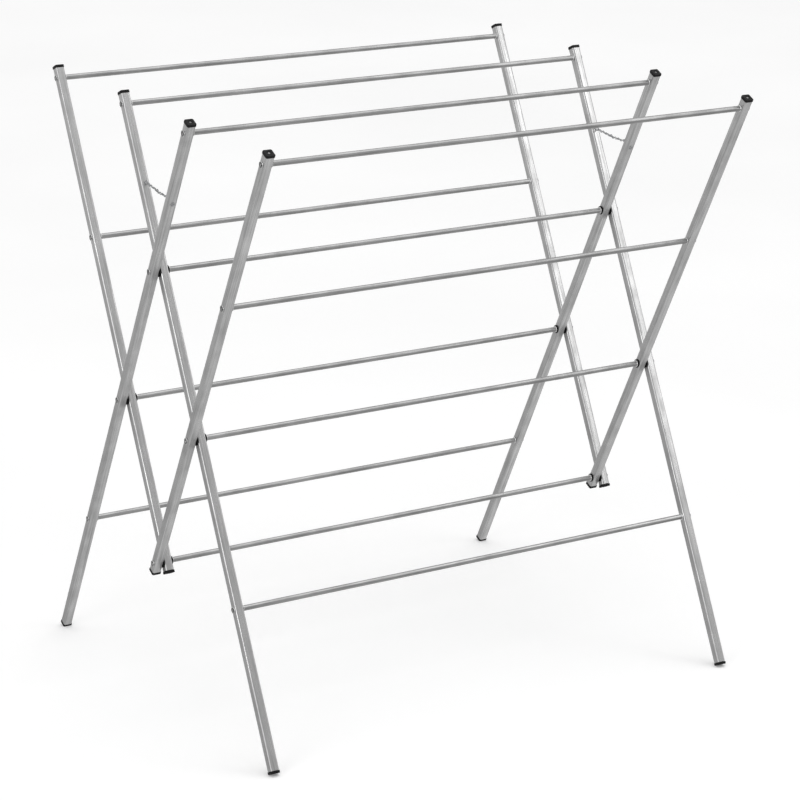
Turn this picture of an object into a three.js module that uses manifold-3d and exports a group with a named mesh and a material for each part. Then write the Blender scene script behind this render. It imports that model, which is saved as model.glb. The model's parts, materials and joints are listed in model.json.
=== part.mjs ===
// Folding clothes drying rack: four tube frames that cross on four pivot rods, eight rods
// fixed in the frames, two stay chains and plastic plugs in the tube ends.
// Millimetres. X runs along the rods, Y from front to back and Z up from the floor.
// The origin is on the floor, under the middle of the rack.

import * as THREE from "three";
import { mergeVertices } from "three/addons/utils/BufferGeometryUtils.js";
import Module from "manifold-3d";

const wasm = await Module();
wasm.setup();

// Layout of the frames
const frameSpan = 650;         // leg centre to leg centre across one frame
const rodPitch = 204;          // rod to rod along a leg
const leanDegrees = 26.5;      // lean of every leg from upright, with the rack open
const footReach = 191;         // lowest rod of a stand to the end of its leg tube
const endReach = 12;           // the last rod at any other end to the end of the tube

// Square leg tube
const tubeSide = 11;
const tubeWall = 0.8;
const tubeCorner = 2;

// Hollow rod, upset to a shoulder inside the leg and flared over its outside
const rodRadius = 3.3;
const rodWall = 0.7;
const shoulderRise = 1.1;
const shoulderWidth = 1.2;
const headRise = 0.8;
const headWidth = 0.9;
const headChamfer = 0.4;
const mouthFlare = 0.7;        // how far the bore opens at the flared mouth
const mouthDepth = 1.6;

// Nylon washers: one inside each pivot, and a wider one, the spacer, between its two legs
const washerThickness = 0.8;
const washerRim = 1.9;
const spacerRim = 3.7;

// Plugs in the tube ends
const flangeLip = 0.4;         // the flange stands proud of each tube face by this
const flangeThickness = 3.3;
const flangeCorner = 2;
const stemLength = 6;
const soleCut = 1.2;           // corner taken off a foot, so that it stands on a flat

// Stay chains, each in two runs that meet at their middle link
const chainHeight = 105;       // upper pivot to the chain's pins, along the leg
const pinRadius = 1.1;
const buttonRadius = 2.6;
const buttonThickness = 1.0;
const eyeRadius = 2.2;
const eyeWire = 0.6;
const linkPitch = 5.4;
const linkRadius = 1.1;
const linkWaist = 0.7;

// Clearances
const faceGap = 0.3;           // between two faces that rest on each other
const runGap = 0.3;            // around a rod or pin in its hole, and a stem in its tube

// Facets of round shapes
const roundSides = 8;
const cornerSteps = 2;         // on a tube's corner

const lean = THREE.MathUtils.degToRad(leanDegrees);
const stepBack = rodPitch * Math.sin(lean);
const stepUp = rodPitch * Math.cos(lean);
const planeOffset = tubeSide + washerThickness + 2 * faceGap;  // between crossing legs
const flangeSide = tubeSide + 2 * flangeLip;
const holeRadius = (rodRadius + runGap) / Math.cos(Math.PI / roundSides);
const pinHoleRadius = (pinRadius + runGap) / Math.cos(Math.PI / roundSides);
const footLength = footReach + faceGap + flangeThickness;

// Height of the lowest rods, from the foot's lowest corner less what the sole cuts off
const lowRodHeight = footLength * Math.cos(lean) + flangeSide / 2 * Math.sin(lean) - soleCut;

const satinSteel = new THREE.MeshStandardMaterial({
  name: "satin_steel", color: 0xb9babc, roughness: 0.38, metalness: 0.85, flatShading: true,
});
const zincSteel = new THREE.MeshStandardMaterial({
  name: "zinc_steel", color: 0xa3a4a6, roughness: 0.3, metalness: 1, flatShading: true,
});
const blackPlastic = new THREE.MeshStandardMaterial({
  name: "black_plastic", color: 0x17181a, roughness: 0.5, metalness: 0, flatShading: true,
});

// --- Solids -------------------------------------------------------------------------------

function toManifold(geometry) {
  const bare = geometry.clone();
  bare.deleteAttribute("normal");
  bare.deleteAttribute("uv");
  const merged = mergeVertices(bare, 1e-4);
  return new wasm.Manifold(new wasm.Mesh({
    numProp: 3,
    vertProperties: new Float32Array(merged.attributes.position.array),
    triVerts: new Uint32Array(merged.index.array),
  }));
}

function toGeometry(manifold) {
  const cut = manifold.getMesh();
  const geometry = new THREE.BufferGeometry();
  geometry.setAttribute("position", new THREE.BufferAttribute(cut.vertProperties, 3));
  geometry.setIndex(new THREE.BufferAttribute(cut.triVerts, 1));
  geometry.computeVertexNormals();
  return geometry;
}

function roundedSquare(side, corner) {
  const flat = side / 2 - corner;
  const outline = new THREE.Shape();
  outline.moveTo(side / 2, -flat);
  outline.absarc(flat, flat, corner, 0, Math.PI / 2);
  outline.absarc(-flat, flat, corner, Math.PI / 2, Math.PI);
  outline.absarc(-flat, -flat, corner, Math.PI, Math.PI * 1.5);
  outline.absarc(flat, -flat, corner, Math.PI * 1.5, Math.PI * 2);
  return outline;
}

function squareHole(side) {
  const half = side / 2;
  const corners = [[half, half], [-half, half], [-half, -half], [half, -half]];
  return new THREE.Path(corners.map(([x, y]) => new THREE.Vector2(x, y)));
}

function prism(shape, length, curveSegments) {
  return new THREE.ExtrudeGeometry(shape, { depth: length, bevelEnabled: false, curveSegments });
}

function rodAlongX(radius, length, sides) {
  return new THREE.CylinderGeometry(radius, radius, length, sides).rotateZ(Math.PI / 2);
}

// Leg tube along Z, from below its lowest rod (z = 0) to above its top rod, bored for its rods
function legGeometry(below, pinHeight) {
  const section = roundedSquare(tubeSide, tubeCorner);
  section.holes.push(squareHole(tubeSide - 2 * tubeWall));
  const length = below + 3 * rodPitch + endReach;
  let leg = toManifold(prism(section, length, cornerSteps).translate(0, 0, -below));
  for (let station = 0; station < 4; station += 1) {
    const drill = rodAlongX(holeRadius, 2 * tubeSide, roundSides);
    leg = leg.subtract(toManifold(drill.translate(0, 0, station * rodPitch)));
  }
  if (pinHeight) {
    const drill = new THREE.CylinderGeometry(pinHoleRadius, pinHoleRadius, 2 * tubeSide, roundSides);
    leg = leg.subtract(toManifold(drill.translate(0, 0, pinHeight)));
  }
  return toGeometry(leg);
}

// Rod along X: its shoulders face outwards at shoulderAt, and its heads start at headAt
function rodGeometry(shoulderAt, headAt) {
  const bore = rodRadius - rodWall;
  const shoulder = rodRadius + shoulderRise;
  const head = rodRadius + headRise;
  const end = headAt + headWidth;
  const outside = [
    [rodRadius, shoulderAt - shoulderWidth],
    [shoulder, shoulderAt - shoulderWidth / 2],
    [shoulder, shoulderAt],
    [rodRadius, shoulderAt],
    [rodRadius, headAt],
    [head, headAt],
    [head - headChamfer, end],
    [bore + mouthFlare, end],
    [bore, end - mouthDepth],
  ];
  const upper = outside.map(([radius, along]) => new THREE.Vector2(radius, along));
  const lower = outside.map(([radius, along]) => new THREE.Vector2(radius, -along)).reverse();
  const profile = [...lower, ...upper, lower[0].clone()];
  return new THREE.LatheGeometry(profile, roundSides).rotateZ(-Math.PI / 2);
}

function washerGeometry(rim) {
  const inner = holeRadius;
  const outer = rodRadius + rim + runGap;
  const half = washerThickness / 2;
  const profile = [[inner, -half], [outer, -half], [outer, half], [inner, half], [inner, -half]];
  const points = profile.map(([radius, along]) => new THREE.Vector2(radius, along));
  return new THREE.LatheGeometry(points, roundSides).rotateZ(-Math.PI / 2);
}

// Plug with its flange's underside at z = 0 and its stem below, in the tube
function plugManifold() {
  const flange = prism(roundedSquare(flangeSide, flangeCorner), flangeThickness, 1);
  const stemSide = tubeSide - 2 * tubeWall - 2 * runGap;
  const stem = new THREE.BoxGeometry(stemSide, stemSide, stemLength + flangeThickness);
  stem.translate(0, 0, (flangeThickness - stemLength) / 2 - flangeThickness / 2);
  return toManifold(flange).add(toManifold(stem));
}

// A foot is a plug turned downwards, with a flat sole where its rear corner meets the floor
function footManifold(leanSign) {
  const plug = toManifold(toGeometry(plugManifold()).rotateX(Math.PI));
  const ground = new THREE.BoxGeometry(4 * flangeSide, 4 * flangeSide, 4 * flangeSide);
  ground.translate(0, 0, -2 * flangeSide);
  ground.rotateX(leanSign * lean);
  const corner = new THREE.Vector2(leanSign * flangeSide / 2, -flangeThickness);
  const cutY = corner.x - leanSign * soleCut * Math.sin(lean);
  const cutZ = corner.y + soleCut * Math.cos(lean);
  return plug.subtract(toManifold(ground.translate(0, cutY, cutZ)));
}

// Pin through a leg along Y: an eye on the side that faces the chain, a button on the other
function chainPinGeometry(eyeSide) {
  const face = tubeSide / 2 + faceGap;
  const eyeCentre = face + eyeRadius + eyeWire;
  const shankStart = -(face + buttonThickness / 2);
  const shankEnd = eyeCentre - eyeRadius;
  const shank = new THREE.CylinderGeometry(pinRadius, pinRadius, shankEnd - shankStart, roundSides);
  shank.translate(0, (shankStart + shankEnd) / 2, 0);
  const button = new THREE.CylinderGeometry(buttonRadius, buttonRadius, buttonThickness, roundSides);
  button.translate(0, -(face + buttonThickness / 2), 0);
  const eye = new THREE.TorusGeometry(eyeRadius, eyeWire, 6, roundSides).rotateY(Math.PI / 2);
  eye.translate(0, eyeCentre, 0);
  const pin = toManifold(shank).add(toManifold(button)).add(toManifold(eye));
  return toGeometry(pin).rotateX(eyeSide > 0 ? 0 : Math.PI);
}

// Half a chain as one beaded strand along +Y, from just clear of its eye
function chainRunGeometry(length) {
  const start = eyeRadius + eyeWire + faceGap;
  const links = Math.floor((length - start) / linkPitch);
  const pitch = (length - start) / links;
  const profile = [new THREE.Vector2(0, start)];
  for (let link = 0; link < links; link += 1) {
    const from = start + link * pitch;
    profile.push(new THREE.Vector2(linkWaist, from));
    profile.push(new THREE.Vector2(linkRadius, from + pitch / 2));
  }
  profile.push(new THREE.Vector2(linkWaist, length));
  profile.push(new THREE.Vector2(0, length));
  return new THREE.LatheGeometry(profile, 6);
}

// --- Assembly -----------------------------------------------------------------------------

const rack = new THREE.Group();

function add(parent, name, geometry, material, x, y, z) {
  const mesh = new THREE.Mesh(geometry, material);
  mesh.name = name;
  mesh.position.set(x, y, z);
  parent.add(mesh);
  return mesh;
}

// Place of a rod, in steps back and up from the lowest pivot rod
function rodPlace(back, up) {
  return [back * stepBack, lowRodHeight + up * stepUp];
}

const sides = [["left", -1], ["right", 1]];
const pinAlongLeg = 2 * rodPitch + chainHeight;

// One frame: two legs, its plugs and the rods that are fixed in it. leanSign is +1 where the
// legs lean back towards their tops, and those frames sit half a plane offset to the right.
function addFrame(name, leanSign, back, isStand, fixedRods) {
  const frame = new THREE.Group();
  const [y, z] = rodPlace(back, 0);
  frame.position.set(leanSign * planeOffset / 2, y, z);
  frame.rotation.x = -leanSign * lean;
  rack.add(frame);

  const below = isStand ? footReach : endReach;
  const top = 3 * rodPitch + endReach + faceGap;
  const leg = legGeometry(below, isStand ? pinAlongLeg : 0);
  for (const [side, sign] of sides) {
    const x = sign * frameSpan / 2;
    add(frame, `${name}_leg_${side}`, leg, satinSteel, x, 0, 0);
    add(frame, `${name}_top_plug_${side}`, toGeometry(plugManifold()), blackPlastic, x, 0, top);
    if (isStand) {
      const foot = toGeometry(footManifold(leanSign));
      add(frame, `${name}_foot_${side}`, foot, blackPlastic, x, 0, -below - faceGap);
      const pin = chainPinGeometry(-leanSign);
      add(frame, `${name}_chain_pin_${side}`, pin, zincSteel, x, 0, pinAlongLeg);
    } else {
      const plug = toGeometry(plugManifold()).rotateX(Math.PI);
      add(frame, `${name}_lower_plug_${side}`, plug, blackPlastic, x, 0, -below - faceGap);
    }
  }
  const innerFace = frameSpan / 2 - tubeSide / 2;
  const rod = rodGeometry(innerFace - faceGap, innerFace + tubeSide + faceGap);
  for (const [rodName, station] of fixedRods) {
    add(frame, rodName, rod, satinSteel, 0, 0, station * rodPitch);
  }
}

addFrame("rear_wing", 1, 0, false, [["rear_wing_middle_rod", 2], ["rear_wing_top_rod", 3]]);
addFrame("front_wing", -1, 0, false, [["front_wing_middle_rod", 2], ["front_wing_top_rod", 3]]);
addFrame("front_stand", 1, -2, true, [["front_stand_low_rod", 0], ["front_stand_top_rod", 3]]);
addFrame("rear_stand", -1, 2, true, [["rear_stand_low_rod", 0], ["rear_stand_top_rod", 3]]);

// Pivot rods run through two frames, with a washer inside each pivot and one between the legs
function addPivot(name, back, up) {
  const [y, z] = rodPlace(back, up);
  const innerFace = frameSpan / 2 - planeOffset / 2 - tubeSide / 2;
  const outerFace = frameSpan / 2 + planeOffset / 2 + tubeSide / 2;
  const washerAt = innerFace - faceGap - washerThickness / 2;
  const shoulderAt = washerAt - washerThickness / 2 - faceGap;
  const rod = rodGeometry(shoulderAt, outerFace + faceGap);
  add(rack, `${name}_pivot_rod`, rod, satinSteel, 0, y, z);
  for (const [side, sign] of sides) {
    const inside = `${name}_pivot_washer_${side}`;
    const between = `${name}_pivot_spacer_${side}`;
    add(rack, inside, washerGeometry(washerRim), blackPlastic, sign * washerAt, y, z);
    add(rack, between, washerGeometry(spacerRim), blackPlastic, sign * frameSpan / 2, y, z);
  }
}

addPivot("upper", 0, 2);
addPivot("rear", 1, 1);
addPivot("front", -1, 1);
addPivot("lower", 0, 0);

// Each stand carries half of each chain, from its own eye to the middle of the V. The halves
// keep to their own side of the plane between the legs, so that they pass when it folds.
function addChainRuns(name, leanSign) {
  const eyeOut = tubeSide / 2 + faceGap + eyeRadius + eyeWire;
  const reach = chainHeight * Math.sin(lean) - eyeOut * Math.cos(lean);
  const rise = chainHeight * Math.cos(lean) + eyeOut * Math.sin(lean);
  const [, pivotZ] = rodPlace(0, 2);
  const laneGap = linkRadius + faceGap;
  for (const [side, sign] of sides) {
    const eyeX = sign * frameSpan / 2 + leanSign * planeOffset / 2;
    const endX = sign * frameSpan / 2 + leanSign * laneGap;
    const eye = new THREE.Vector3(eyeX, leanSign * reach, pivotZ + rise);
    const end = new THREE.Vector3(endX, leanSign * faceGap / 2, pivotZ + rise);
    const run = end.clone().sub(eye);
    const strand = chainRunGeometry(run.length());
    const mesh = add(rack, `${name}_chain_${side}`, strand, zincSteel, eye.x, eye.y, eye.z);
    mesh.quaternion.setFromUnitVectors(new THREE.Vector3(0, 1, 0), run.normalize());
  }
}

addChainRuns("front_stand", 1);
addChainRuns("rear_stand", -1);

export default rack;
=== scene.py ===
import json
import math

import bmesh
import bpy
from mathutils import Matrix, Vector


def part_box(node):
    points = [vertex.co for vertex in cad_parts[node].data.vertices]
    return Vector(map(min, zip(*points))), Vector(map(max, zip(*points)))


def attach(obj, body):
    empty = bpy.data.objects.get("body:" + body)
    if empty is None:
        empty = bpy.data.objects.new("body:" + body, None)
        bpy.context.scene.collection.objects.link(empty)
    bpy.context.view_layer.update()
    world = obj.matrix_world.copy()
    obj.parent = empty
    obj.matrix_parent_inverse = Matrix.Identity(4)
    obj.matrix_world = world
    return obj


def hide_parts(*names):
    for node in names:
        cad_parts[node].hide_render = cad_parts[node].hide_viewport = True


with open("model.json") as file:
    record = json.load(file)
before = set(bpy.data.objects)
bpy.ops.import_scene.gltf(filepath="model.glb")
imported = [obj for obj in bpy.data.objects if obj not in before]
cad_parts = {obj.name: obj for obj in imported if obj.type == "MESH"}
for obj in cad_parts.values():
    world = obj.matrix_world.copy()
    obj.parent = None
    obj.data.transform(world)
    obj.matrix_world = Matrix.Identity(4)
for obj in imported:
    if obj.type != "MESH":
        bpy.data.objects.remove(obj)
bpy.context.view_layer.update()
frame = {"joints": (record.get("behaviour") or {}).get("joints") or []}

# Folding clothes drying rack in satin stainless tube. Lengths are in millimetres while a piece
# is shaped, and turn into metres where it is placed.

MM = 0.001

# --- Sizes that the frame gives -----------------------------------------------------------

hinges = {joint["name"]: Vector(joint["pos_m"]) / MM for joint in frame["joints"]}
upper_pivot = hinges["rear_stand_fold"]
rear_pivot = hinges["rear_wing_fold"]
rod_pitch = (rear_pivot - upper_pivot).length
lean = math.atan2(rear_pivot.y - upper_pivot.y, upper_pivot.z - rear_pivot.z)
step_back = rod_pitch * math.sin(lean)
step_up = rod_pitch * math.cos(lean)
low_rod_height = upper_pivot.z - 2 * step_up


def node_box(node):
    """Corners of a CAD node, in millimetres."""
    low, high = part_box(node)
    return low / MM, high / MM


def middle_x(node):
    low, high = node_box(node)
    return (low.x + high.x) / 2


leg_low, leg_high = node_box("front_stand_leg_right")
TUBE_SIDE = leg_high.x - leg_low.x
FRAME_SPAN = middle_x("front_stand_leg_right") - middle_x("front_stand_leg_left")
PLANE_OFFSET = middle_x("front_stand_leg_right") - middle_x("rear_stand_leg_right")

# --- Sizes of the pieces ------------------------------------------------------------------

TUBE_WALL = 0.8
TUBE_CORNER = 2.0
END_REACH = 12            # end rod to the end of the tube
FOOT_REACH = 191          # lowest rod of a stand to the end of its tube
ROD_RADIUS = 3.3
ROD_WALL = 0.7
SHOULDER_RISE = 1.0
SHOULDER_WIDTH = 1.2
HEAD_RISE = 0.8
HEAD_WIDTH = 0.9
MOUTH_DEPTH = 1.6
WASHER_THICKNESS = 0.8
WASHER_RIM = 1.9
# The spacer between crossing legs is a real black nylon washer, drawn wide enough that its black also
# fills the contact shadow under the crossing: partly painted shade.
SPACER_RIM = 3.7
FLANGE_LIP = 0.4
FLANGE_THICKNESS = 3.3
FLANGE_CORNER = 2.0
STEM_LENGTH = 6
FACE_GAP = 0.3
ROD_HOLE_GAP = 0.15       # round a rod in its hole or washer
PIN_HOLE_GAP = 0.1
CHAIN_HEIGHT = 105        # upper pivot to the chain's pins, along the leg
PIN_RADIUS = 1.1
BUTTON_RADIUS = 2.6
BUTTON_THICKNESS = 1.0
EYE_RADIUS = 2.2
EYE_WIRE = 0.6
LINK_WIRE = 0.45          # radius of the chain's wire
LINK_WIDTH = 3.0
LINK_LENGTH = 5.4
CHAIN_SAG = 1.4
LINK_STAGGER = 0.75       # sideways, from the middle of the V to each half's last link

ROUND_SIDES = 40          # facets of a rod or washer

RODS_PER_LEG = 4
SIDES = (("left", -1), ("right", 1))
PIN_ALONG_LEG = 2 * rod_pitch + CHAIN_HEIGHT

# --- Camera -------------------------------------------------------------------------------

CAMERA_YAW = math.radians(31.85)      # turned to the right of straight ahead
CAMERA_PITCH = math.radians(17.47)    # looking down
CAMERA_ROLL = math.radians(0.82)
CAMERA_DISTANCE = 3.487               # metres to the point it looks at
CAMERA_LENS = 124.6
LOOK_AT = Vector((0.0122, 0, 0.3299))

ahead = Vector((
    math.sin(CAMERA_YAW) * math.cos(CAMERA_PITCH),
    math.cos(CAMERA_YAW) * math.cos(CAMERA_PITCH),
    -math.sin(CAMERA_PITCH),
))
camera = bpy.data.objects.new("camera", bpy.data.cameras.new("camera"))
camera.data.lens = CAMERA_LENS
camera.location = LOOK_AT - ahead * CAMERA_DISTANCE
camera.rotation_mode = "QUATERNION"
upright = ahead.to_track_quat("-Z", "Y")
camera.rotation_quaternion = upright @ Matrix.Rotation(CAMERA_ROLL, 4, "Z").to_quaternion()
bpy.context.scene.collection.objects.link(camera)
bpy.context.scene.camera = camera

# --- Materials ----------------------------------------------------------------------------


def linear(hex_colour):
    """sRGB hex to the linear colour that a shader takes."""
    channels = [int(hex_colour[i:i + 2], 16) / 255 for i in (0, 2, 4)]
    return [c / 12.92 if c <= 0.04045 else ((c + 0.055) / 1.055) ** 2.4 for c in channels] + [1]


def add_node(tree, kind, inputs=None, **settings):
    """Adds a node with its settings, and its inputs as values or as links from other sockets."""
    node = tree.nodes.new(kind)
    for name, value in settings.items():
        setattr(node, name, value)
    for name, value in (inputs or {}).items():
        if isinstance(value, bpy.types.NodeSocket):
            tree.links.new(value, node.inputs[name])
        else:
            node.inputs[name].default_value = value
    return node


def new_material(name):
    """An empty node material, its tree and its output node."""
    material = bpy.data.materials.new(name)
    material.use_nodes = True
    tree = material.node_tree
    tree.nodes.clear()
    return material, tree, add_node(tree, "ShaderNodeOutputMaterial")


def colour_ramp(tree, factor, stops):
    """A ramp through (place, hex colour) stops."""
    ramp = add_node(tree, "ShaderNodeValToRGB", {"Fac": factor})
    ramp.color_ramp.elements[0].position = stops[0][0]
    ramp.color_ramp.elements[1].position = stops[-1][0]
    for place, _ in stops[1:-1]:
        ramp.color_ramp.elements.new(place)
    for element, (_, colour) in zip(ramp.color_ramp.elements, stops):
        element.color = linear(colour)
    return ramp.outputs["Color"]


def satin_stainless(name, tilt, light, dark, roughness):
    """Stainless steel tube, belt-polished along its length. Fine lines and the ripple of the
    forming rolls run along it and streak each reflection; handling leaves it a little cloudy.
    tilt turns the lines from upright to a leg's own lean, and None lays them along a rod."""
    line_width = 1.3            # mm; real polishing lines are about 0.05, too fine to show
    line_length = 70            # mm
    ripple_height = 0.14        # mm; drawn coarse in step with the lines
    cloud = 24                  # mm across
    across, along = 1 / (line_width * MM), 1 / (line_length * MM)
    material, tree, output = new_material(name)
    place_on = add_node(tree, "ShaderNodeTexCoord").outputs["Object"]
    stretch = (along, across, across)
    if tilt is not None:
        turn = add_node(tree, "ShaderNodeMapping", {
            "Vector": place_on, "Rotation": (tilt, 0, 0)})
        place_on = turn.outputs["Vector"]
        stretch = (across, across, along)
    drawn = add_node(tree, "ShaderNodeMapping", {"Vector": place_on, "Scale": stretch})
    lines = add_node(tree, "ShaderNodeTexNoise", {
        "Vector": drawn.outputs["Vector"], "Scale": 1.0, "Detail": 2.0, "Roughness": 0.55})
    clouds = add_node(tree, "ShaderNodeTexNoise", {
        "Vector": place_on, "Scale": 1 / (cloud * MM), "Detail": 3.0, "Roughness": 0.5})
    wear = add_node(tree, "ShaderNodeMix", {
        "Factor": 0.35, "A": lines.outputs["Fac"], "B": clouds.outputs["Fac"]})
    colour = colour_ramp(tree, wear.outputs["Result"], [(0.34, dark), (0.64, light)])
    rough = add_node(tree, "ShaderNodeMapRange", {
        "Value": wear.outputs["Result"], "From Min": 0.3, "From Max": 0.7,
        "To Min": roughness + 0.08, "To Max": roughness - 0.08})
    ripple = add_node(tree, "ShaderNodeBump", {
        "Height": lines.outputs["Fac"], "Strength": 1.0, "Distance": ripple_height * MM})
    surface = add_node(tree, "ShaderNodeBsdfPrincipled", {
        "Base Color": colour, "Metallic": 1.0, "Roughness": rough.outputs["Result"],
        "Normal": ripple.outputs["Normal"]})
    tree.links.new(surface.outputs["BSDF"], output.inputs["Surface"])
    return material


def moulded_polyethylene(name, light, dark, roughness):
    """Black polyethylene from a fine-eroded mould: a soft grain that breaks up its sheen, and
    a slightly greyer bloom where the flow cooled."""
    grain = 0.6                 # mm; about 0.2 on the real one
    bloom = 7                   # mm
    material, tree, output = new_material(name)
    place = add_node(tree, "ShaderNodeTexCoord").outputs["Object"]
    fine = add_node(tree, "ShaderNodeTexNoise", {
        "Vector": place, "Scale": 1 / (grain * MM), "Detail": 2.0})
    broad = add_node(tree, "ShaderNodeTexNoise", {
        "Vector": place, "Scale": 1 / (bloom * MM), "Detail": 3.0})
    colour = colour_ramp(tree, broad.outputs["Fac"], [(0.35, dark), (0.7, light)])
    rough = add_node(tree, "ShaderNodeMapRange", {
        "Value": fine.outputs["Fac"], "From Min": 0.3, "From Max": 0.7,
        "To Min": roughness - 0.05, "To Max": roughness + 0.07})
    bump = add_node(tree, "ShaderNodeBump", {
        "Height": fine.outputs["Fac"], "Strength": 0.25, "Distance": 0.05 * MM})
    surface = add_node(tree, "ShaderNodeBsdfPrincipled", {
        "Base Color": colour, "Metallic": 0.0, "IOR": 1.51, "Specular IOR Level": 0.22,
        "Roughness": rough.outputs["Result"], "Normal": bump.outputs["Normal"]})
    tree.links.new(surface.outputs["BSDF"], output.inputs["Surface"])
    return material


def zinc_plate(name, light, dark, roughness):
    """Bright zinc over steel wire, barrel-plated: small cloudy patches and tumbling marks."""
    patch = 1.6                 # mm
    material, tree, output = new_material(name)
    place = add_node(tree, "ShaderNodeTexCoord").outputs["Object"]
    patches = add_node(tree, "ShaderNodeTexVoronoi", {
        "Vector": place, "Scale": 1 / (patch * MM)}, feature="F1")
    marks = add_node(tree, "ShaderNodeTexNoise", {
        "Vector": place, "Scale": 2.5 / (patch * MM), "Detail": 2.0})
    colour = colour_ramp(tree, patches.outputs["Distance"], [(0.1, light), (0.8, dark)])
    rough = add_node(tree, "ShaderNodeMapRange", {
        "Value": marks.outputs["Fac"], "From Min": 0.3, "From Max": 0.7,
        "To Min": roughness - 0.06, "To Max": roughness + 0.08})
    bump = add_node(tree, "ShaderNodeBump", {
        "Height": marks.outputs["Fac"], "Strength": 0.2, "Distance": 0.03 * MM})
    surface = add_node(tree, "ShaderNodeBsdfPrincipled", {
        "Base Color": colour, "Metallic": 1.0, "Roughness": rough.outputs["Result"],
        "Normal": bump.outputs["Normal"]})
    tree.links.new(surface.outputs["BSDF"], output.inputs["Surface"])
    return material


STEEL_LIGHT, STEEL_DARK = "dcdcdc", "b0b0b0"
leg_steel = {
    1: satin_stainless("satin_stainless_leaning_back", lean, STEEL_LIGHT, STEEL_DARK, 0.30),
    -1: satin_stainless("satin_stainless_leaning_forward", -lean, STEEL_LIGHT, STEEL_DARK, 0.30),
}
rod_steel = satin_stainless("satin_stainless_rod", None, "bababa", "949494", 0.36)
plug_black = moulded_polyethylene("moulded_black_polyethylene", "121213", "08080a", 0.5)
# Beads and rolled heads take a near-white copy of the rod steel: a painted highlight.
rod_steel_and_painted_highlight = [rod_steel, satin_stainless("painted_highlight_stainless", None, "f4f4f4", "e2e2e2", 0.2)]
# Grey for the middle of each plug's dish: a painted highlight, not a colour of the plastic.
dish_painted_highlight = moulded_polyethylene("painted_highlight_polyethylene", "9a9a9a", "6c6c6c", 0.5)
washer_nylon = moulded_polyethylene("moulded_black_nylon", "141415", "0a0a0b", 0.55)
black_plug_and_painted_highlight = [plug_black, dish_painted_highlight]
chain_zinc = zinc_plate("zinc_plated_wire", "c4c5c6", "9a9b9d", 0.32)

# --- Shaping ------------------------------------------------------------------------------


def skin(mesh, loops, closed=False):
    """Joins a run of equal loops of points, capped at both ends unless it closes on itself."""
    rings = [[mesh.verts.new(point) for point in loop] for loop in loops]
    pairs = list(zip(rings, rings[1:]))
    if closed:
        pairs.append((rings[-1], rings[0]))
    for near, far in pairs:
        for i in range(len(near)):
            j = (i + 1) % len(near)
            mesh.faces.new((near[i], near[j], far[j], far[i]))
    if not closed:
        mesh.faces.new(rings[0])
        mesh.faces.new(rings[-1])


def turned(mesh, profile, sides):
    """Turns a closed profile of (along, radius) points round the X axis."""
    loops = []
    for step in range(sides):
        angle = 2 * math.pi * step / sides
        c, s = math.cos(angle), math.sin(angle)
        loops.append([(along, radius * c, radius * s) for along, radius in profile])
    skin(mesh, loops, closed=True)


def turned_solid(mesh, profile, sides, axis="Y"):
    """Turns an open profile of (along, radius) points, and caps both of its ends."""
    loops = []
    for along, radius in profile:
        angles = [2 * math.pi * step / sides for step in range(sides)]
        if axis == "Y":
            loops.append([(radius * math.cos(a), along, radius * math.sin(a)) for a in angles])
        else:
            loops.append([(along, radius * math.cos(a), radius * math.sin(a)) for a in angles])
    skin(mesh, loops)


def arc(centre, radii, start, end, steps):
    """Points on an elliptical arc, with its angles in degrees."""
    points = []
    for step in range(steps + 1):
        angle = math.radians(start + (end - start) * step / steps)
        points.append((centre[0] + radii[0] * math.cos(angle),
                       centre[1] + radii[1] * math.sin(angle)))
    return points


def rounded_square(side, corner, steps=5, hold=0.25):
    """Outline with round corners. A point held close to each corner keeps the flats flat."""
    flat = side / 2 - corner
    points = []
    for turn in range(4):
        start = 90 * turn
        quarter = math.radians(start)
        c, s = math.cos(quarter), math.sin(quarter)
        centre = (flat * c - flat * s, flat * s + flat * c)
        bend = arc(centre, (corner, corner), start, start + 90, steps)
        before = (bend[0][0] + hold * s, bend[0][1] - hold * c)
        after = (bend[-1][0] - hold * c, bend[-1][1] - hold * s)
        points += [before, *bend, after]
    return points


def at_height(outline, z):
    return [(x, y, z) for x, y in outline]


def finish_mesh(mesh, name, materials, matrix=None, sharp_angle=38):
    """Turns shaped millimetres into a smooth-shaded mesh in metres."""
    bmesh.ops.recalc_face_normals(mesh, faces=mesh.faces)
    mesh.transform(Matrix.Scale(MM, 4) @ (matrix or Matrix.Identity(4)))
    data = bpy.data.meshes.new(name)
    mesh.to_mesh(data)
    mesh.free()
    for material in materials:
        data.materials.append(material)
    data.shade_smooth()
    data.set_sharp_from_angle(angle=math.radians(sharp_angle))
    return data


def place(node, mesh, materials, matrix, body, slot):
    """Puts a shaped piece where the CAD node is, to ride on its body in its place."""
    piece = bpy.data.objects.new(f"{node}_finished", finish_mesh(mesh, node, materials, matrix))
    bpy.context.scene.collection.objects.link(piece)
    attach(piece, body)
    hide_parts(node)
    return piece


# --- Legs ---------------------------------------------------------------------------------


def cut_away(mesh, cutters):
    """Cuts the cutters' solids out of a shaped mesh."""
    solids = []
    for name, shape in (("blank", mesh), ("cutter", cutters)):
        bmesh.ops.recalc_face_normals(shape, faces=shape.faces)
        data = bpy.data.meshes.new(name)
        shape.to_mesh(data)
        shape.free()
        solid = bpy.data.objects.new(name, data)
        bpy.context.scene.collection.objects.link(solid)
        solids.append(solid)
    blank, cutter = solids
    cut = blank.modifiers.new("cut", "BOOLEAN")
    cut.object, cut.operation, cut.solver = cutter, "DIFFERENCE", "EXACT"
    bpy.context.view_layer.update()
    result = bmesh.new()
    result.from_object(blank, bpy.context.evaluated_depsgraph_get())
    for solid in solids:
        bpy.data.objects.remove(solid)
    return result


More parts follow.
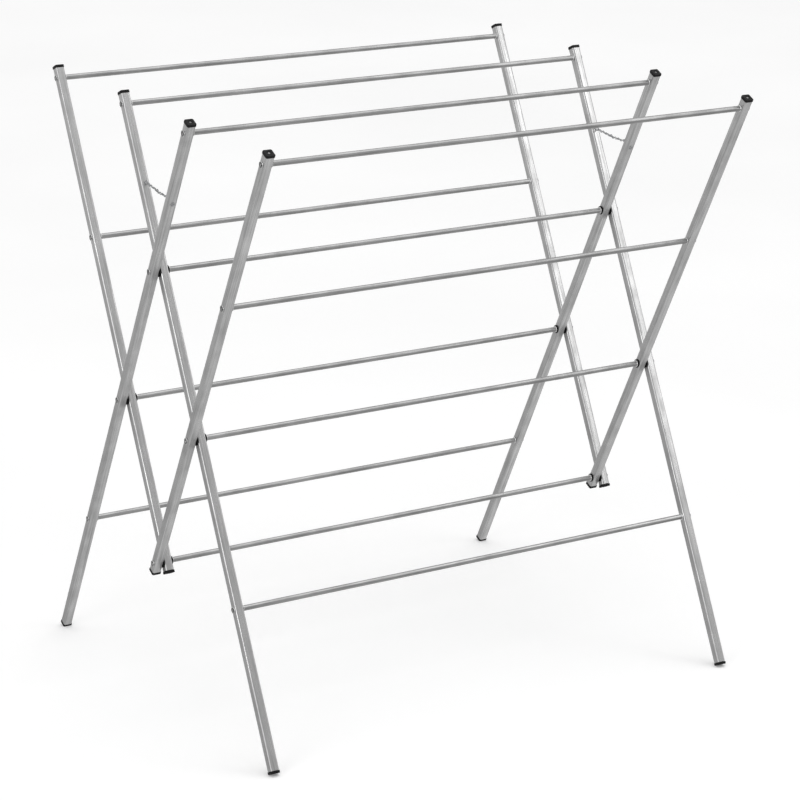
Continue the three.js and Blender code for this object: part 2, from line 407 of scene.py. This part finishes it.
def leg_mesh(below, has_pin):
    """Square tube from below its lowest rod to above its top rod, drilled for what it carries."""
    top = (RODS_PER_LEG - 1) * rod_pitch + END_REACH
    deburr = 0.15
    bore = TUBE_SIDE - 2 * TUBE_WALL
    bore_corner = TUBE_CORNER - TUBE_WALL
    outer = rounded_square(TUBE_SIDE, TUBE_CORNER)
    eased = rounded_square(TUBE_SIDE - 2 * deburr, TUBE_CORNER - deburr)
    inner = rounded_square(bore, bore_corner)
    tube = bmesh.new()
    skin(tube, [
        at_height(inner, -below), at_height(eased, -below), at_height(outer, -below + deburr),
        at_height(outer, top - deburr), at_height(eased, top), at_height(inner, top),
    ], closed=True)
    drills = bmesh.new()
    hole = ROD_RADIUS + ROD_HOLE_GAP
    pin_hole = PIN_RADIUS + PIN_HOLE_GAP
    hole_sides, pin_hole_sides = 32, 20
    for station in range(RODS_PER_LEG):
        hole_mesh = bmesh.new()
        turned_solid(hole_mesh, [(-TUBE_SIDE, hole), (TUBE_SIDE, hole)], hole_sides, axis="X")
        append(drills, hole_mesh, Matrix.Translation((0, 0, station * rod_pitch)))
    if has_pin:
        hole_mesh = bmesh.new()
        turned_solid(hole_mesh, [(-TUBE_SIDE, pin_hole), (TUBE_SIDE, pin_hole)], pin_hole_sides)
        append(drills, hole_mesh, Matrix.Translation((0, 0, PIN_ALONG_LEG)))
    return cut_away(tube, drills)


def append(target, source, matrix):
    """Adds a shaped mesh to another."""
    source.transform(matrix)
    data = bpy.data.meshes.new("part")
    source.to_mesh(data)
    source.free()
    target.from_mesh(data)
    bpy.data.meshes.remove(data)


# --- Rods and washers ---------------------------------------------------------------------


def rod_mesh(shoulder_at, head_at):
    """Hollow rod along X. Each end is upset to a bead inside the leg and rolled over outside."""
    bore = ROD_RADIUS - ROD_WALL
    head = ROD_RADIUS + HEAD_RISE
    curl = HEAD_WIDTH / 2
    end = head_at + HEAD_WIDTH
    bead = arc((shoulder_at - SHOULDER_WIDTH / 2, ROD_RADIUS),
               (SHOULDER_WIDTH / 2, SHOULDER_RISE), 180, 0, 8)
    lip = arc((head_at + curl, head - curl), (curl, curl), -180, -360, 8)
    lip_step = 0.15           # flat at the lip, before the mouth opens
    mouth = arc((end, bore), (MOUTH_DEPTH, head - curl - bore - 2 * lip_step), 90, 180, 6)
    half = [*bead, (head_at, ROD_RADIUS), *lip[1:], (end, head - curl - lip_step), *mouth]
    other = [(-along, radius) for along, radius in reversed(half)]
    mesh = bmesh.new()
    turned(mesh, half + other, ROUND_SIDES)
    raised = 0.05             # a face this far above the rod is on a bead or a head
    # Faces on a bead or a head take the near-white steel, a painted highlight.
    for face in mesh.faces:
        along, out, up = (abs(part) for part in face.calc_center_median())
        if along > shoulder_at - SHOULDER_WIDTH and math.hypot(out, up) > ROD_RADIUS + raised:
            face.material_index = 1
    return mesh


def washer_mesh(rim):
    """Flat washer with softly rounded edges."""
    edge = 0.22
    half = WASHER_THICKNESS / 2
    inner = ROD_RADIUS + ROD_HOLE_GAP
    outer = ROD_RADIUS + rim + FACE_GAP
    profile = [
        *arc((half - edge, outer - edge), (edge, edge), 0, 90, 3),
        *arc((edge - half, outer - edge), (edge, edge), 90, 180, 3),
        *arc((edge - half, inner + edge), (edge, edge), 180, 270, 3),
        *arc((half - edge, inner + edge), (edge, edge), 270, 360, 3),
    ]
    mesh = bmesh.new()
    turned(mesh, profile, ROUND_SIDES)
    return mesh


# --- Plugs --------------------------------------------------------------------------------


def plug_mesh():
    """Tube-end plug: a soft-edged flange with a dished middle, over a barbed square stem."""
    edge = 0.7
    side = TUBE_SIDE + 2 * FLANGE_LIP
    stem = TUBE_SIDE - 2 * TUBE_WALL - FACE_GAP
    under_edge = 0.15
    dish_radius, dish_depth, dish_rim = 2.9, 0.8, 0.35
    count = len(rounded_square(side, FLANGE_CORNER))

    def circle(radius):
        start = math.radians(-4)      # roughly in line with the outline's points
        angles = [start + 2 * math.pi * step / count for step in range(count)]
        return [(radius * math.cos(a), radius * math.sin(a)) for a in angles]

    loops = []
    barb, root, barbs = 0.35, 0.8, 2
    barb_pitch = (STEM_LENGTH - 1) / barbs
    for number in range(barbs):
        for width, share in ((stem - 2 * barb, 0), (stem, 0.6), (stem, 0.75), (stem - 2 * barb, 0.8)):
            z = (number + share) * barb_pitch - STEM_LENGTH
            loops.append(at_height(rounded_square(width, root), z))
    loops.append(at_height(rounded_square(stem - 2 * barb, root), 0))
    eased = rounded_square(side - 2 * under_edge, FLANGE_CORNER - under_edge)
    loops.append(at_height(eased, 0))
    loops.append(at_height(rounded_square(side, FLANGE_CORNER), under_edge))
    for inset, rise in arc((0, FLANGE_THICKNESS - edge), (edge, edge), 0, 90, 5):
        shrink = edge - inset
        outline = rounded_square(side - 2 * shrink, max(FLANGE_CORNER - shrink, 0.3))
        loops.append(at_height(outline, rise))
    loops.append(at_height(circle(dish_radius + dish_rim), FLANGE_THICKNESS))
    for out, rise in arc((dish_radius, FLANGE_THICKNESS - dish_rim), (dish_rim, dish_rim), 60, 0, 2):
        loops.append(at_height(circle(out), rise))
    for share in (0.88, 0.7, 0.52):
        depth = dish_depth * (1 - 0.35 * share ** 2)
        loops.append(at_height(circle(dish_radius * share), FLANGE_THICKNESS - depth))
    centre_nub, centre_nub_rise = 1.3, 0.35
    loops.append(at_height(circle(centre_nub), FLANGE_THICKNESS - dish_depth))
    loops.append(at_height(circle(centre_nub * 0.9), FLANGE_THICKNESS - dish_depth + centre_nub_rise))
    mesh = bmesh.new()
    skin(mesh, loops)
    # Faces in the middle of the dish take the grey material: a painted highlight.
    for face in mesh.faces:
        middle = face.calc_center_median()
        if middle.z > 0 and math.hypot(middle.x, middle.y) < centre_nub:
            face.material_index = 1
    return mesh


def foot_mesh(lean_sign, sole_height):
    """A plug turned downwards and worn flat where it meets the floor."""
    mesh = plug_mesh()
    mesh.transform(Matrix.Rotation(math.pi, 4, "X"))
    up = Matrix.Rotation(lean_sign * lean, 4, "X") @ Vector((0, 0, 1))
    cut = bmesh.ops.bisect_plane(
        mesh, geom=[*mesh.verts, *mesh.edges, *mesh.faces],
        plane_co=up * sole_height, plane_no=-up, clear_outer=True)
    edges = [part for part in cut["geom_cut"] if isinstance(part, bmesh.types.BMEdge)]
    bmesh.ops.holes_fill(mesh, edges=edges, sides=0)
    return mesh


# --- Chain pins and chains ----------------------------------------------------------------


def ring_path(length, width, steps):
    """Points round an oval, with the way out from its middle at each: for a ring or a link."""
    radius = width / 2
    straight = length / 2 - radius
    path = []
    for sign in (1, -1):
        for step in range(steps + 1):
            angle = math.pi * step / steps - math.pi / 2 + (0 if sign > 0 else math.pi)
            out = Vector((0, math.cos(angle), math.sin(angle)))
            path.append((Vector((0, sign * straight, 0)) + out * radius, out))
    return path


def wire_ring(mesh, length, width, wire, steps=9, sides=10):
    """Closed oval of round wire in the YZ plane, long in Y."""
    loops = []
    for point, out in ring_path(length - 2 * wire, width - 2 * wire, steps):
        loop = []
        for side in range(sides):
            angle = 2 * math.pi * side / sides
            loop.append(point + out * wire * math.cos(angle) + Vector((wire * math.sin(angle), 0, 0)))
        loops.append(loop)
    skin(mesh, loops, closed=True)


def chain_pin_mesh(eye_side):
    """Rivet through the leg along Y, with a domed button behind and a wire eye for the chain."""
    face = TUBE_SIDE / 2 + FACE_GAP
    eye_centre = face + EYE_RADIUS + EYE_WIRE
    mesh = bmesh.new()
    dome = arc((-face, 0), (BUTTON_THICKNESS, BUTTON_RADIUS), 176, 90, 7)
    rim = [(-face, BUTTON_RADIUS - 0.1), (-face, PIN_RADIUS)]
    shank = [(face + 0.2, PIN_RADIUS), (face + 1.0, PIN_RADIUS * 0.8)]
    pin_sides = 28
    turned_solid(mesh, dome + rim + shank, pin_sides)
    eye = bmesh.new()
    size = 2 * (EYE_RADIUS + EYE_WIRE)
    wire_ring(eye, size + 0.01, size, EYE_WIRE, steps=14)
    append(mesh, eye, Matrix.Translation((0, eye_centre, 0)))
    if eye_side < 0:
        mesh.transform(Matrix.Rotation(math.pi, 4, "Z"))
    return mesh


def chain_mesh(run, sag):
    """Half a chain along +Y: oval links set crosswise to each other, dipping a little, and
    kinked where a link has caught on its neighbour."""
    kink, kink_step = 0.45, 2.1                   # height of a kink, and radians of it to a link
    roll, roll_step = 12, 2.3                     # degrees that a link rolls, and radians to a link
    inside = LINK_LENGTH - 4 * LINK_WIRE
    reach = run - EYE_RADIUS + LINK_LENGTH / 2 - LINK_WIRE
    count = round(reach / inside)
    pitch = reach / count
    mesh = bmesh.new()
    for number in range(count):
        middle = EYE_RADIUS + (number + 0.5) * pitch - LINK_WIRE
        share = middle / run
        phase = kink_step * number
        dip = kink * math.sin(phase) - sag * (1 - (1 - share) ** 2)
        slope = (kink_step * kink * math.cos(phase) / pitch) - sag * 2 * (1 - share) / run
        link = bmesh.new()
        wire_ring(link, LINK_LENGTH, LINK_WIDTH, LINK_WIRE)
        upright_link = (count - number) % 2     # the last one is, so it stays clear of the legs
        rolled = roll * math.sin(roll_step * number)
        twist = math.radians(90 * upright_link + 90 + rolled)
        spin = Matrix.Rotation(twist, 4, "Y")
        tip = Matrix.Rotation(slope, 4, "X")
        append(mesh, link, Matrix.Translation((0, middle, dip)) @ tip @ spin)
    return mesh


# --- Assembly -----------------------------------------------------------------------------


def rod_place(back, up):
    return Vector((0, back * step_back, low_rod_height + up * step_up))


def frame_matrix(lean_sign, back):
    """Frame's own axes, up its legs from the axis of its lowest rod."""
    origin = rod_place(back, 0) + Vector((lean_sign * PLANE_OFFSET / 2, 0, 0))
    return Matrix.Translation(origin) @ Matrix.Rotation(-lean_sign * lean, 4, "X")


def build_frame(name, lean_sign, back, is_stand, fixed_rods):
    """One frame: its legs, plugs and chain pins, and the rods that are fixed in it."""
    own = frame_matrix(lean_sign, back)
    below = FOOT_REACH if is_stand else END_REACH
    steel = [leg_steel[lean_sign]]
    for side, sign in SIDES:
        across = own @ Matrix.Translation((sign * FRAME_SPAN / 2, 0, 0))
        top = Matrix.Translation((0, 0, (RODS_PER_LEG - 1) * rod_pitch + END_REACH + FACE_GAP))
        bottom = Matrix.Translation((0, 0, -below - FACE_GAP))
        place(f"{name}_leg_{side}", leg_mesh(below, is_stand), steel, across, name, "steel_tube")
        place(f"{name}_top_plug_{side}", plug_mesh(), black_plug_and_painted_highlight, across @ top, name, "black_plug")
        if is_stand:
            sole = across @ bottom
            foot = foot_mesh(lean_sign, -sole.translation.z)
            place(f"{name}_foot_{side}", foot, black_plug_and_painted_highlight, sole, name, "black_plug")
            pin = chain_pin_mesh(-lean_sign)
            here = across @ Matrix.Translation((0, 0, PIN_ALONG_LEG))
            place(f"{name}_chain_pin_{side}", pin, [chain_zinc], here, name, "zinc_chain")
        else:
            turned_over = across @ bottom @ Matrix.Rotation(math.pi, 4, "X")
            node = f"{name}_lower_plug_{side}"
            place(node, plug_mesh(), black_plug_and_painted_highlight, turned_over, name, "black_plug")
    inner_face = FRAME_SPAN / 2 - TUBE_SIDE / 2
    for node, station in fixed_rods:
        rod = rod_mesh(inner_face - FACE_GAP, inner_face + TUBE_SIDE + FACE_GAP)
        here = own @ Matrix.Translation((0, 0, station * rod_pitch))
        place(node, rod, rod_steel_and_painted_highlight, here, name, "steel_rod")


def build_pivot(name, back, up, body):
    """Rod through two frames, with a washer inside each crossing and one between its legs."""
    axle = Matrix.Translation(rod_place(back, up))
    inner_face = FRAME_SPAN / 2 - PLANE_OFFSET / 2 - TUBE_SIDE / 2
    outer_face = FRAME_SPAN / 2 + PLANE_OFFSET / 2 + TUBE_SIDE / 2
    washer_at = inner_face - FACE_GAP - WASHER_THICKNESS / 2
    shoulder_at = washer_at - WASHER_THICKNESS / 2 - FACE_GAP
    rod = rod_mesh(shoulder_at, outer_face + FACE_GAP)
    place(f"{name}_pivot_rod", rod, rod_steel_and_painted_highlight, axle, body, "steel_rod")
    for side, sign in SIDES:
        for kind, x, rim in (("washer", washer_at, WASHER_RIM),
                             ("spacer", FRAME_SPAN / 2, SPACER_RIM)):
            here = axle @ Matrix.Translation((sign * x, 0, 0))
            node = f"{name}_pivot_{kind}_{side}"
            place(node, washer_mesh(rim), [washer_nylon], here, body, "nylon_washer")


def build_chains(name, lean_sign):
    """Each stand's half of the two stay chains, from its eyes to the middle of the V."""
    for side, sign in SIDES:
        node = f"{name}_chain_{side}"
        eye = hinges[f"{node}_swing"]
        end = Vector((sign * FRAME_SPAN / 2 + lean_sign * LINK_STAGGER, 0, eye.z))
        run = end - eye
        turn = Vector((0, 1, 0)).rotation_difference(run).to_matrix().to_4x4()
        if run.y < 0:
            flat = Matrix.Rotation(math.pi, 4, "Z")
            bent = Vector((0, -1, 0)).rotation_difference(run).to_matrix().to_4x4()
            turn = bent @ flat
        here = Matrix.Translation(eye) @ turn
        place(node, chain_mesh(run.length, CHAIN_SAG), [chain_zinc], here, node, "zinc_chain")


build_frame("rear_wing", 1, 0, False, [("rear_wing_middle_rod", 2), ("rear_wing_top_rod", 3)])
build_frame("front_wing", -1, 0, False, [("front_wing_middle_rod", 2), ("front_wing_top_rod", 3)])
build_frame("front_stand", 1, -2, True, [("front_stand_low_rod", 0), ("front_stand_top_rod", 3)])
build_frame("rear_stand", -1, 2, True, [("rear_stand_low_rod", 0), ("rear_stand_top_rod", 3)])
build_pivot("upper", 0, 2, "front_stand")
build_pivot("front", -1, 1, "front_stand")
build_pivot("rear", 1, 1, "rear_stand")
build_pivot("lower", 0, 0, "rear_wing")
build_chains("front_stand", 1)
build_chains("rear_stand", -1)

# --- Floor and light ----------------------------------------------------------------------


def lit_floor():
    """Matt white acrylic floor lit faintly from below, with a slight unevenness in its glow."""
    mottle_size = 0.8           # metres across
    material, tree, output = new_material("matt_white_acrylic_floor")
    place_on = add_node(tree, "ShaderNodeTexCoord").outputs["Object"]
    mottle = add_node(tree, "ShaderNodeTexNoise", {
        "Vector": place_on, "Scale": 1 / mottle_size, "Detail": 3.0})
    colour = colour_ramp(tree, mottle.outputs["Fac"], [(0.3, "f1f1f1"), (0.7, "f5f5f5")])
    surface = add_node(tree, "ShaderNodeBsdfPrincipled", {
        "Base Color": colour, "Metallic": 0.0, "Roughness": 0.85, "Specular IOR Level": 0.2,
        "Emission Color": colour, "Emission Strength": 0.17})
    tree.links.new(surface.outputs["BSDF"], output.inputs["Surface"])
    return material


def make_floor(width):
    """Square floor just under the soles. The steel does not reflect it."""
    just_below = 0.0003         # metres
    mesh = bmesh.new()
    bmesh.ops.create_grid(mesh, x_segments=4, y_segments=4, size=width / 2)
    data = bpy.data.meshes.new("floor")
    mesh.to_mesh(data)
    mesh.free()
    data.materials.append(lit_floor())
    floor = bpy.data.objects.new("floor", data)
    floor.location.z = -just_below
    floor.visible_glossy = False
    bpy.context.scene.collection.objects.link(floor)


def soft_light(name, width, depth, power, position, target):
    """Softbox aimed at a point, out of sight itself."""
    light = bpy.data.objects.new(name, bpy.data.lights.new(name, "AREA"))
    light.data.shape = "RECTANGLE"
    light.data.size, light.data.size_y = width, depth
    light.data.energy = power
    light.location = position
    aim = Vector(target) - Vector(position)
    light.rotation_mode = "QUATERNION"
    light.rotation_quaternion = aim.to_track_quat("-Z", "Y")
    light.visible_camera = False
    bpy.context.scene.collection.objects.link(light)


def overhead_diffuser(strength, spread, position):
    """Sheet of light over the whole floor, as wide as spread degrees from anywhere on it."""
    light = bpy.data.objects.new("overhead_diffuser", bpy.data.lights.new("diffuser", "SUN"))
    light.data.energy = strength
    light.data.angle = math.radians(spread)
    light.rotation_mode = "QUATERNION"
    light.rotation_quaternion = Vector(position).to_track_quat("Z", "Y")
    bpy.context.scene.collection.objects.link(light)


def studio_room(heights):
    """Even light from all round that changes with height alone, from (height, grey) pairs."""
    world = bpy.data.worlds.new("studio_room")
    world.use_nodes = True
    bpy.context.scene.world = world
    tree = world.node_tree
    direction = add_node(tree, "ShaderNodeTexCoord").outputs["Generated"]
    height = add_node(tree, "ShaderNodeSeparateXYZ", {"Vector": direction}).outputs["Z"]
    up = add_node(tree, "ShaderNodeMapRange", {"Value": height, "From Min": -1.0, "From Max": 1.0})
    stops = [((z + 1) / 2, grey * 3) for z, grey in heights]
    colour = colour_ramp(tree, up.outputs["Result"], stops)
    back = tree.nodes["Background"]
    tree.links.new(colour, back.inputs["Color"])


make_floor(60)
overhead_diffuser(1.05, 72, (0.25, -0.1, 1))
soft_light("right_softbox", 0.9, 1.2, 5, (1.75, -1.5, 1.7), (0.3, 0, 0.5))
soft_light("left_softbox", 1.6, 1.8, 20, (-2.9, -1.2, 1.4), (0, 0, 0.4))
studio_room([(-1.0, "c4"), (-0.8, "dc"), (-0.55, "ba"), (-0.3, "b2"), (-0.12, "dc"),
             (0.15, "e0"), (0.3, "b8"), (0.5, "b0"), (0.8, "c8"), (1.0, "e2")])
bpy.context.scene.view_settings.view_transform = "Standard"

# --- Hand over ----------------------------------------------------------------------------

bpy.context.view_layer.update()
